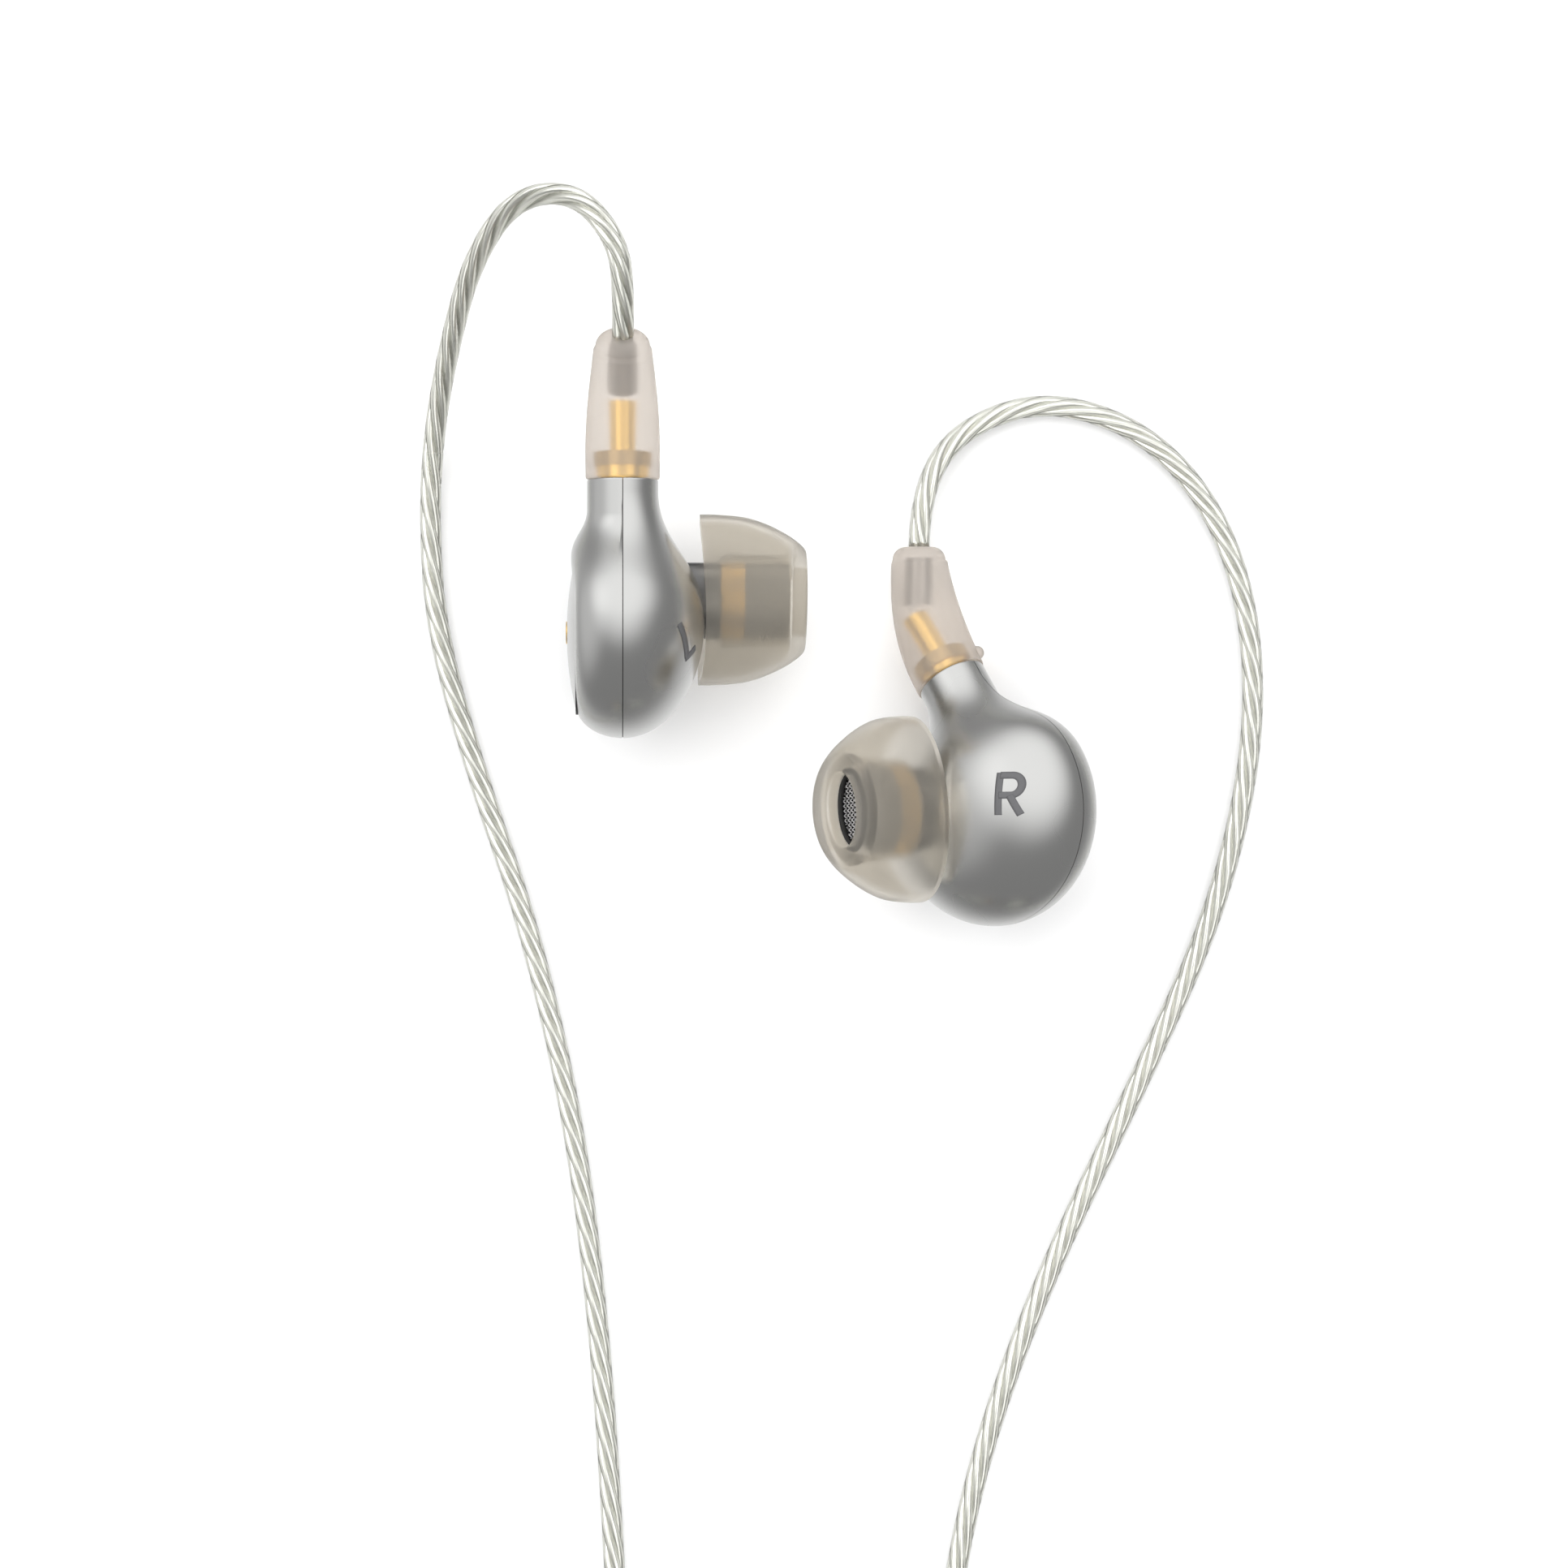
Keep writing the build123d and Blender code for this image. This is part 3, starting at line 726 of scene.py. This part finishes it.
def wire_mesh(side):
    """Woven steel mesh across the nozzle: two sets of wires that pass over and under each other."""
    half = (NOZZLE_HALF[0] - NOZZLE_WALL - 0.03, NOZZLE_HALF[1] - NOZZLE_WALL - 0.03)
    vertices = []
    faces = []
    diagonal = math.radians(45)
    sides = 6
    for family in (0, 1):
        turn = diagonal + family * math.pi / 2
        ux, uy = math.cos(turn), math.sin(turn)
        for i in range(-WIRE_COUNT, WIRE_COUNT + 1):
            offset = (i + 0.5) * WIRE_PITCH
            inside = []
            for s in range(-130, 131):
                t = s * WIRE_PITCH / 8
                px = ux * t - uy * offset
                py = uy * t + ux * offset
                if (px / half[0]) ** 2 + (py / half[1]) ** 2 < 1:
                    inside.append((px, py, t))
            if len(inside) < 4:
                continue
            start = len(vertices)
            for px, py, t in inside:
                phase = math.pi * (t / WIRE_PITCH + i + family)
                lift = WIRE_R * 0.55 * math.sin(phase)
                for k in range(sides):
                    a = 2 * math.pi * k / sides
                    shift = WIRE_R * math.cos(a)
                    x, y = turned(px - uy * shift, py + ux * shift, NOZZLE_TURN)
                    z = MESH_Z - 0.08 + lift + WIRE_R * math.sin(a)
                    vertices.append((NOZZLE_AT[0] + x, NOZZLE_AT[1] + y, z))
            faces += grid_faces(len(inside), sides, True, start)
            faces.append(tuple(range(start, start + sides)))
            end = start + (len(inside) - 1) * sides
            faces.append(tuple(range(end, end + sides)))
    thing = piece(f"{side}_wire_mesh", vertices, faces, WIRE, f"{side}_earpiece", "mesh")
    settle(thing, side)
    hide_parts(f"{side}_nozzle_mesh")
    # A near-black disc behind the mesh: painted shade for the dark bore beyond it.
    rings = [oval_ring(half, *NOZZLE_AT, z, 64, NOZZLE_TURN) for z in (MESH_Z - 0.35, MESH_Z - 0.3)]
    back = piece(f"{side}_mesh_shade_disc", *lofted(rings), SHADE_BLACK, f"{side}_earpiece", "mesh")
    settle(back, side)


# ---------------------------------------------------------------- boot

def boot_section(turn):
    """Centre and outward directions of the boot where its centre line has turned so far."""
    x = BOOT_START + BOOT_BEND_R * math.sin(turn)
    y = NECK_Y + BOOT_BEND_R * (1 - math.cos(turn))
    centre = Vector((x, y, 0))
    across = Vector((-math.sin(turn), math.cos(turn), 0))
    along = Vector((math.cos(turn), math.sin(turn), 0))
    return centre, across, along


def boot_radius(share):
    """The boot's radius at a share of its bend."""
    spot = share * (len(BOOT_RADII) - 1)
    low = min(int(spot), len(BOOT_RADII) - 2)
    padded = (BOOT_BEFORE, *BOOT_RADII, BOOT_AFTER)
    return catmull(*padded[low:low + 4], spot - low)


def boot(side):
    """Frosted boot with rounded ends; the right one has a small raised dot."""
    count = 72
    rings = []
    levels = [(0.0, 0.55, 0.0), (0.0, 0.95, 0.0), (0.0, 0.985, 0.03), (0.0, 1.0, 0.1)]
    last_share = 1 - BOOT_END_R / (BOOT_BEND_R * BOOT_BEND)
    for i in range(1, 41):
        levels.append((last_share * i / 41, 1.0, 0.0))
    for i in range(0, 9):
        a = math.pi / 2 * i / 8
        shrink = 1 - BOOT_END_R / BOOT_RADII[-1] * (1 - math.cos(a))
        levels.append((1.0, shrink, BOOT_END_R * (math.sin(a) - 1)))
    levels.append((1.0, 0.45, 0.0))
    for share, shrink, shift in levels:
        centre, across, along = boot_section(BOOT_BEND * share)
        centre = centre + along * shift
        r = boot_radius(share) * shrink
        ring = []
        for k in range(count):
            a = 2 * math.pi * k / count
            ring.append(tuple(centre + across * (r * math.cos(a)) + Vector((0, 0, r * math.sin(a)))))
        rings.append(ring)
    thing = piece(f"{side}_boot_skin", *lofted(rings), BOOT_RUBBER, "harness", "boot")
    thing.visible_shadow = False
    settle(thing, side)
    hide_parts(f"{side}_boot")
    if side == "right":
        raised_dot(side)


def raised_dot(side):
    """A small ball half sunk into the boot near its wide end."""
    rings = []
    for i in range(1, 12):
        a = math.pi * i / 12
        r = DOT_BALL_R * math.sin(a)
        z = DOT_BALL_AT[2] + DOT_BALL_R * math.cos(a)
        rings.append(oval_ring((r, r), DOT_BALL_AT[0], DOT_BALL_AT[1], z, 32))
    thing = piece(f"{side}_boot_dot", *lofted(rings), BOOT_RUBBER, "harness", "boot")
    settle(thing, side)


# ---------------------------------------------------------------- side letters

def dome_height(x, y):
    """Height of the ear side of the housing above the seam."""
    return boundary(lambda up: housing_field(x, y, up) < 0, 8.0, 30)


def letter_strokes(letter):
    """Centre lines of a letter's strokes in a box one unit high, as lists of (across, up)."""
    if letter == "L":
        return [[(0.0, 1.0), (0.0, 0.07)], [(-0.065, 0.065), (0.48, 0.065)]]
    bowl = [(0.0, 0.935), (0.3, 0.935)]
    for i in range(1, 16):
        a = math.pi / 2 - math.pi * i / 16
        bowl.append((0.3 + 0.23 * math.cos(a), 0.7 + 0.235 * math.sin(a)))
    bowl += [(0.3, 0.465), (0.0, 0.465)]
    return [[(0.0, 1.0), (0.0, 0.0)], bowl, [(0.27, 0.465), (0.53, 0.0)]]


def resampled(points, step):
    """Points along a polyline, at most step apart."""
    out = [points[0]]
    for a, b in zip(points, points[1:]):
        length = math.hypot(b[0] - a[0], b[1] - a[1])
        parts = max(1, math.ceil(length / step))
        for i in range(1, parts + 1):
            t = i / parts
            out.append((a[0] + (b[0] - a[0]) * t, a[1] + (b[1] - a[1]) * t))
    return out


def side_letter(side, letter):
    """A generic side mark: flat strokes laid on the dome, drawn in the earpiece's own axes."""
    flip = SIDES[side]["flip"]
    middle = SIDES[side]["letter_at"]
    up = (math.cos(LETTER_TURN), math.sin(LETTER_TURN))
    across = (flip * up[1], -flip * up[0])
    vertices = []
    faces = []
    for number, stroke in enumerate(letter_strokes(letter)):
        line = resampled(stroke, 0.03)
        start = len(vertices)
        for i, (u, v) in enumerate(line):
            before = line[max(i - 1, 0)]
            after = line[min(i + 1, len(line) - 1)]
            size = math.hypot(after[0] - before[0], after[1] - before[1])
            nu = -(after[1] - before[1]) / size
            nv = (after[0] - before[0]) / size
            for share in (-0.5, -0.17, 0.17, 0.5):
                right = ((u - 0.26) * LETTER_SQUEEZE + nu * share * LETTER_STROKE) * LETTER_HEIGHT
                rise = (v + nv * share * LETTER_STROKE - 0.5) * LETTER_HEIGHT
                x = middle[0] + across[0] * right + up[0] * rise
                y = middle[1] + across[1] * right + up[1] * rise
                vertices.append((x, y, dome_height(x, y) + INK_LIFT + 0.001 * number))
        faces += grid_faces(len(line), 4, False, start)
    thing = piece(f"{side}_letter", vertices, faces, INK, f"{side}_earpiece", "housing")
    thick = thing.modifiers.new("ink", "SOLIDIFY")
    thick.thickness = INK_THICK
    thick.offset = -1
    apply_modifiers(thing)
    settle(thing, side)


# ---------------------------------------------------------------- cords

def coil_points(diameter, centre, outermost, turns, layers, start, way):
    """A layered coil: it winds in on one layer and out on the next."""
    points = []
    shrink = math.cos(math.pi / TURN_POINTS)
    per_layer = turns / layers
    total = round(turns * TURN_POINTS)
    for i in range(total + 1):
        t = i / TURN_POINTS
        layer = min(int(t / per_layer), layers - 1)
        share = t / per_layer - layer
        depth = share if layer % 2 == 0 else 1 - share
        radius = (outermost - depth * per_layer * diameter * COIL_PITCH) / shrink
        left = (1 - share) * per_layer
        rise = 0.0
        if left < COIL_CLIMB and layer < layers - 1:
            u = 1 - left / COIL_CLIMB
            rise = u * u * (3 - 2 * u)
        z = COIL_LIFT + diameter / 2 + (layer + rise) * diameter
        angle = math.radians(start) + way * 2 * math.pi * t
        points.append((centre[0] + radius * math.cos(angle), centre[1] + radius * math.sin(angle), z))
    return points


def nurbs(name, points, bevel, material=None):
    """A spline curve over points, thickened to a tube where it has a bevel."""
    data = bpy.data.curves.new(name, "CURVE")
    data.dimensions = "3D"
    data.resolution_u = 8
    spline = data.splines.new("NURBS")
    spline.points.add(len(points) - 1)
    for spot, point in zip(spline.points, points):
        spot.co = (*point, 1.0)
    spline.order_u = 3
    spline.use_endpoint_u = True
    if bevel:
        data.bevel_depth = bevel
        data.bevel_resolution = 5
        data.use_fill_caps = True
    thing = bpy.data.objects.new(name, data)
    bpy.context.scene.collection.objects.link(thing)
    if material:
        data.materials.append(material)
    return thing


def line_of(points):
    """The points that a cord's own spline runs through, as Vectors."""
    bare = nurbs("bare_line", points, 0)
    graph = bpy.context.evaluated_depsgraph_get()
    graph.update()
    mesh = bpy.data.meshes.new_from_object(bare.evaluated_get(graph))
    line = [v.co.copy() for v in mesh.vertices]
    bpy.data.objects.remove(bare)
    bpy.data.meshes.remove(mesh)
    return line


def evenly(line, step):
    """The line again with points a fixed step apart, each with how far along it is."""
    out = [(line[0], 0.0)]
    travelled = 0.0
    due = step
    for a, b in zip(line, line[1:]):
        length = (b - a).length
        while length > 0 and travelled + length >= due:
            out.append((a.lerp(b, (due - travelled) / length), due))
            due += step
        travelled += length
    return out, travelled


def strand_mesh(name, line, diameter, slot_name):
    """Silver strands twisted round a line, left handed, each a thin tube."""
    orbit = diameter * STRAND_ORBIT
    thick = diameter * STRAND_R
    pitch = diameter * STRAND_PITCH
    spots, _ = evenly(line, 0.0005)
    vertices = []
    faces = []
    tangent = (spots[1][0] - spots[0][0]).normalized()
    side_way = tangent.orthogonal().normalized()
    frames = []
    for i, (spot, far) in enumerate(spots):
        ahead = spots[min(i + 1, len(spots) - 1)][0] - spots[max(i - 1, 0)][0]
        tangent = ahead.normalized()
        side_way = (side_way - tangent * side_way.dot(tangent)).normalized()
        frames.append((spot, side_way.copy(), tangent.cross(side_way), far, tangent))
    lean = 2 * math.pi * orbit / pitch
    for s in range(STRANDS):
        start = len(vertices)
        for spot, first, second, far, tangent in frames:
            angle = -2 * math.pi * (far / pitch) + 2 * math.pi * s / STRANDS
            out = first * math.cos(angle) + second * math.sin(angle)
            around = second * math.cos(angle) - first * math.sin(angle)
            way = (tangent - around * lean).normalized()
            third = out.cross(way)
            centre = spot + out * orbit
            for k in range(STRAND_SIDES):
                a = 2 * math.pi * k / STRAND_SIDES
                vertices.append(tuple(centre + (out * math.cos(a) + third * math.sin(a)) * thick))
        faces += grid_faces(len(frames), STRAND_SIDES, True, start)
        faces.append(tuple(reversed(range(start, start + STRAND_SIDES))))
        end = start + (len(frames) - 1) * STRAND_SIDES
        faces.append(tuple(range(end, end + STRAND_SIDES)))
    return piece(name, vertices, faces, SILVER, "harness", slot_name)


def build_cord(name, points, diameter, slot_name, nodes):
    """A clear jacket on the route's own spline, with twisted silver strands in it."""
    line = line_of(points)
    _, length = evenly(line, 0.001)
    jacket = nurbs(name, points, diameter / 2, JACKET)
    jacket.visible_shadow = False
    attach(jacket, "harness")
    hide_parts(*nodes)
    strands = strand_mesh(f"{name}_strands", line, diameter, slot_name)


def build_cords():
    """Two branch cords from the boots to the splitter, and the main cord from there to the plug."""
    left = LEFT_LEAD + coil_points(CORD_D, *LEFT_COIL) + LEFT_TAIL
    right = RIGHT_LEAD + coil_points(CORD_D, *RIGHT_COIL) + RIGHT_TAIL
    main = MAIN_LEAD + coil_points(MAIN_D, *MAIN_COIL) + MAIN_TAIL
    build_cord("left_branch_cord", left, CORD_D, "jacket",
               ["left_branch_lead", "left_branch_coil", "left_branch_tail"])
    build_cord("right_branch_cord", right, CORD_D, "jacket",
               ["right_branch_lead", "right_branch_coil", "right_branch_tail"])
    build_cord("main_cord", main, MAIN_D, "main_jacket",
               ["main_cord_lead", "main_cord_coil", "main_cord_tail"])


# ---------------------------------------------------------------- stage

# The room's light: brightest this way, with a weaker glow from one side and another from below.
BRIGHT_WAY = (0.05, 0.6, 0.8)
SIDE_WAY = (-0.95, 0.15, 0.28)
DOWN = (0, 0, -1)
# Of each glow: how near its way it starts, and its strength.
SIDE_GLOW = (0.55, 0.45)
LOW_GLOW = (0.25, 0.7)
# Of the room's main gradient: share of the way towards the bright side, and grey there.
DIM = (0.30, 0.30)
BRIGHT = (0.93, 1.3)
LAMP_POWER = 1.6
LAMP_SIZE = 0.5
TABLE_LAMPS = {
    "lamp_left": (-0.5, 0.1, 0.6),
    "lamp_right": (0.5, -0.1, 0.6),
    "lamp_near": (0.0, -0.5, 0.6),
    "lamp_far": (0.0, 0.5, 0.6),
}
CAMERA_AT = (-0.00328, -0.01089, 0.2553)


def build_stage():
    """A pale floor just under the object."""
    bpy.ops.mesh.primitive_plane_add(size=3.0, location=(0, 0, -0.00005))
    floor = bpy.context.object
    floor.name = "floor"
    material, _, shader = new_material("pale_floor")
    set_inputs(shader, Base_Color=colour(0.9, 0.9, 0.9), Roughness=0.8)
    floor.data.materials.append(material)
    floor.visible_glossy = False
    bpy.context.scene.view_settings.view_transform = "Standard"


def area_light(name, place):
    """A square lamp over the table that points at its middle and isn't seen in the metal."""
    data = bpy.data.lights.new(name, "AREA")
    data.shape = "RECTANGLE"
    data.size = LAMP_SIZE
    data.size_y = LAMP_SIZE
    data.energy = LAMP_POWER
    lamp = bpy.data.objects.new(name, data)
    bpy.context.scene.collection.objects.link(lamp)
    lamp.location = place
    lamp.rotation_euler = (Vector((0, 0, 0)) - Vector(place)).to_track_quat("-Z", "Y").to_euler()
    lamp.visible_glossy = False


def nearness(tree, place, way):
    """How near the looked-at direction is to a way: 1 along it, 0 across it."""
    dot = tree.nodes.new("ShaderNodeVectorMath")
    dot.operation = "DOT_PRODUCT"
    dot.inputs[1].default_value = way
    tree.links.new(place.outputs["Generated"], dot.inputs[0])
    return dot.outputs["Value"]


def glow(tree, place, way, start, strength):
    """Light that rises smoothly towards a way."""
    rise = tree.nodes.new("ShaderNodeMapRange")
    rise.interpolation_type = "SMOOTHSTEP"
    rise.inputs["From Min"].default_value = start
    rise.inputs["To Max"].default_value = strength
    tree.links.new(nearness(tree, place, way), rise.inputs["Value"])
    return rise.outputs["Result"]


def build_lights():
    """A soft room, brightest above the top of the picture, with two weaker glows, and lamps for the table."""
    world = bpy.data.worlds.new("studio")
    bpy.context.scene.world = world
    world.use_nodes = True
    tree = world.node_tree
    place = tree.nodes.new("ShaderNodeTexCoord")
    ramp = tree.nodes.new("ShaderNodeValToRGB")
    ramp.color_ramp.interpolation = "EASE"
    for stop, (share, grey) in zip(ramp.color_ramp.elements, (DIM, BRIGHT)):
        stop.position = share
        stop.color = colour(grey, grey, grey)
    tree.links.new(nearness(tree, place, Vector(BRIGHT_WAY).normalized()), ramp.inputs["Fac"])
    glows = tree.nodes.new("ShaderNodeMath")
    tree.links.new(glow(tree, place, DOWN, *LOW_GLOW), glows.inputs[0])
    tree.links.new(glow(tree, place, SIDE_WAY, *SIDE_GLOW), glows.inputs[1])
    total = tree.nodes.new("ShaderNodeVectorMath")
    total.operation = "ADD"
    tree.links.new(ramp.outputs["Color"], total.inputs[0])
    tree.links.new(glows.outputs["Value"], total.inputs[1])
    tree.links.new(total.outputs["Vector"], tree.nodes["Background"].inputs["Color"])
    for name, spot in TABLE_LAMPS.items():
        area_light(name, spot)


def build_camera():
    """Straight above the object, with its centre line over the middle of the picture."""
    data = bpy.data.cameras.new("camera")
    data.lens = 80
    data.sensor_width = 36
    data.clip_start = 0.01
    camera = bpy.data.objects.new("camera", data)
    bpy.context.scene.collection.objects.link(camera)
    camera.location = CAMERA_AT
    bpy.context.scene.camera = camera


# ---------------------------------------------------------------- everything

def paint(thing, material):
    thing.data.materials.clear()
    thing.data.materials.append(material)


def finish_cad_nodes():
    """Materials of the CAD pieces that stay."""
    looks = {
        "nozzle": DARK_STEEL, "nozzle_ring": GOLD, "driver_basket": STEEL, "driver_magnet": DARK_STEEL,
        "driver_diaphragm": IVORY, "jack_shell": GOLD, "jack_insulator": IVORY, "snap_ring": WIRE,
        "plug_shell": GOLD, "plug_collar": COLLAR, "plug_insulator": IVORY, "plug_pin": GOLD,
        "crimp_sleeve": CRIMP,
    }
    for side in SIDES:
        for name, material in looks.items():
            paint(NODES[f"{side}_{name}"], material)
    shared = {
        "splitter": BLACK, "chin_slider": BLACK, "coil_ties": STRAP,
        "plug_relief": BLACK, "plug_barrel": BLACK,
        "plug_sleeve": GOLD, "plug_ring": GOLD, "plug_tip": GOLD, "plug_spacers": IVORY,
    }
    for name, material in shared.items():
        paint(NODES[name], material)


build_camera()
build_cords()
for side in SIDES:
    build_housing(side)
    ear_tip(side)
    painted_mouth_shade(side)
    wire_mesh(side)
    boot(side)
side_letter("right", "R")
side_letter("left", "L")
finish_cad_nodes()
build_stage()
build_lights()
